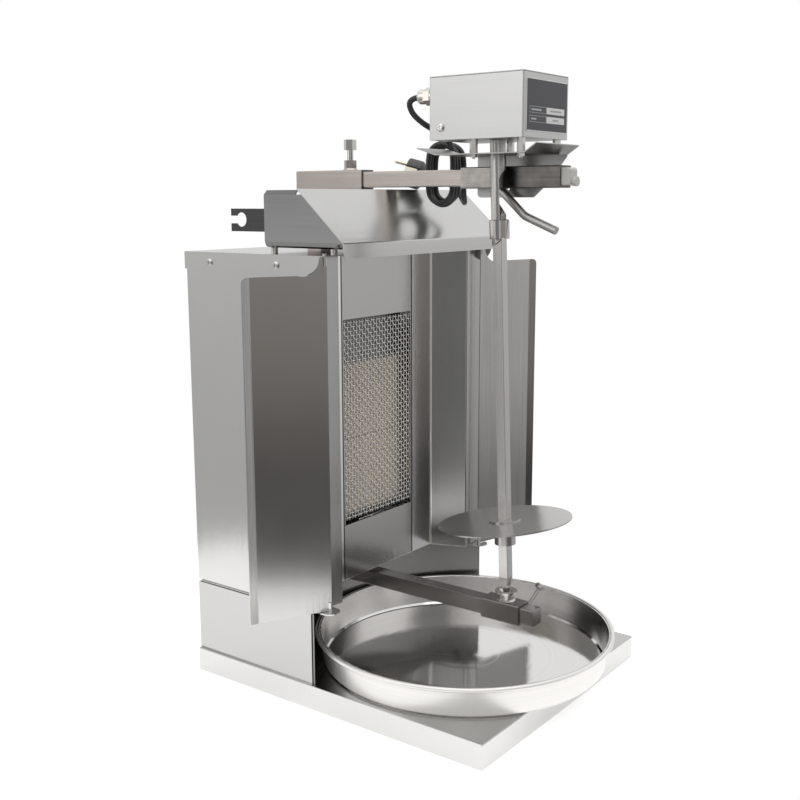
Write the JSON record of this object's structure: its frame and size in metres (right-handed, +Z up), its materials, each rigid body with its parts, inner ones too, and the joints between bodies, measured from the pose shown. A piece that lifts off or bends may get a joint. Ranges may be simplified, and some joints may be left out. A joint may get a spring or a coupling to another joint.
{
  "type": "gas doner kebab grill",
  "caption": "Table-top gas grill with an upright motor-driven spit, round drip pan, concave burner housing, hinged side wings and a sloped hood.",
  "frame": {"origin": "middle of the base tray's underside, on the standing surface", "axes": "+Z up, +Y towards the burner housing and the back, +X to the right of someone standing in front"},
  "size_m": [0.5095, 0.5055, 0.738],
  "materials": {
    "stainless_sheet": "fine satin grain, formed from sheet",
    "stainless_tube": "satin, lightly scratched where it slides",
    "polished_steel": "polished stainless",
    "fasteners": "bright zinc or stainless",
    "guard_mesh": "woven wire",
    "burner_ceramic": "matt, full of fine pores",
    "burner_metal": "dull sheet",
    "brass_fittings": "turned",
    "black_plastic": "matt",
    "end_cap": "light grey, smooth",
    "label": "satin print",
    "motor_metal": "painted gearbox",
    "nickel": "nickel plated",
    "cord_rubber": "smooth satin",
    "plug_rubber": "moulded, matt"
  },
  "bodies": {
    "frame": {"base_tray": "stainless_sheet", "lower_front_wall": "stainless_sheet", "lower_shell": "stainless_sheet", "lower_deck": "stainless_sheet", "housing_floor": "stainless_sheet", "side_panel_left": "stainless_sheet", "side_panel_right": "stainless_sheet", "back_panel": "stainless_sheet", "front_column_left": "stainless_sheet", "front_column_right": "stainless_sheet", "burner_panel": "stainless_sheet", "burner_mesh": "guard_mesh", "ceramic_tiles": "burner_ceramic", "burner_body": "burner_metal", "gas_pipe": "brass_fittings", "gas_valve": "brass_fittings", "gas_inlet": "brass_fittings", "top_cover": "stainless_sheet", "cover_screws": "fasteners", "hood_front": "stainless_sheet", "hood_pan": "stainless_sheet", "hood_spacers": "fasteners", "fork_bracket": "stainless_sheet", "arm_post": "stainless_tube", "upper_arm_sleeve": "stainless_tube", "upper_arm": "stainless_tube", "upper_arm_cap": "end_cap", "lower_arm": "stainless_tube"},
    "arm_clamp": {"arm_clamp_screw": "fasteners"},
    "knob": {"gas_knob": "black_plastic"},
    "left_wing": {"wing_left": "stainless_sheet", "wing_pins_left": "fasteners"},
    "right_wing": {"wing_right": "stainless_sheet", "wing_pins_right": "fasteners"},
    "motor_carriage": {"carriage_sleeve": "stainless_tube", "bracket_plate": "stainless_sheet", "carriage_handle": "stainless_tube", "drip_shield": "stainless_sheet", "shield_standoffs": "fasteners", "motor_box_lid": "stainless_sheet", "motor_box_floor": "stainless_sheet", "motor_box_screws": "fasteners", "label_plate": "label", "gear_motor": "motor_metal", "cable_gland": "nickel", "cord_lead": "cord_rubber", "cord_coil": "cord_rubber", "cord_tail": "cord_rubber", "power_plug": "plug_rubber"},
    "drive": {"drive_tube": "stainless_tube", "motor_shaft": "stainless_tube"},
    "collar": {"locking_collar": "polished_steel"},
    "spit": {"spit_bar": "stainless_tube"},
    "disc": {"meat_disc": "polished_steel", "disc_hub": "polished_steel", "disc_set_screw": "fasteners"},
    "lower_carriage": {"lower_carriage_sleeve": "stainless_tube", "bearing_cup": "polished_steel"},
    "lower_clamp": {"carriage_clamp_handle": "stainless_tube"},
    "pan": {"drip_pan": "polished_steel"}
  },
  "joints": [
    {"name": "left_wing_hinge", "type": "hinge", "parent": "frame", "child": "left_wing", "pos_m": [-0.162, 0.011, 0.3], "axis": [0, 0, 1], "range_deg": [-5, 205]},
    {"name": "right_wing_hinge", "type": "hinge", "parent": "frame", "child": "right_wing", "pos_m": [0.162, 0.011, 0.3], "axis": [0, 0, 1], "range_deg": [-162, 48]},
    {"name": "carriage_slide", "type": "slide", "parent": "frame", "child": "motor_carriage", "axis": [0, 1, 0], "range_m": [0, 0.015]},
    {"name": "lower_carriage_slide", "type": "slide", "parent": "frame", "child": "lower_carriage", "axis": [0, 1, 0], "range_m": [0, 0.015]},
    {"name": "spit_spin", "type": "hinge", "parent": "motor_carriage", "child": "drive", "pos_m": [0, -0.11584, 0.6], "axis": [0, 0.037, 0.9993], "continuous": true},
    {"name": "collar_lift", "type": "slide", "parent": "drive", "child": "collar", "axis": [0, 0.037, 0.9993], "range_m": [0, 0.041]},
    {"name": "spit_lift", "type": "slide", "parent": "drive", "child": "spit", "axis": [0, 0.037, 0.9993], "range_m": [0, 0.012]},
    {"name": "disc_slide", "type": "slide", "parent": "spit", "child": "disc", "axis": [0, 0.037, 0.9993], "range_m": [-0.03, 0.3]},
    {"name": "arm_clamp_turn", "type": "hinge", "parent": "frame", "child": "arm_clamp", "pos_m": [0.025, 0.126, 0.67], "axis": [0, 0, 1], "range_deg": [0, 360]},
    {"name": "lower_clamp_turn", "type": "hinge", "parent": "lower_carriage", "child": "lower_clamp", "pos_m": [0.02, -0.151, 0.1055], "axis": [1, 0, 0], "range_deg": [-60, 60]},
    {"name": "gas_knob_turn", "type": "hinge", "parent": "frame", "child": "knob", "pos_m": [0.1, 0.23, 0.182], "axis": [0, 1, 0], "range_deg": [0, 270]},
    {"name": "pan_slide", "type": "slide", "parent": "frame", "child": "pan", "axis": [0, -1, 0], "range_m": [0, 0.25]}
  ],
  "couplings": [
    {"joint": "lower_carriage_slide", "follows": "carriage_slide", "ratio": 1}
  ]
}
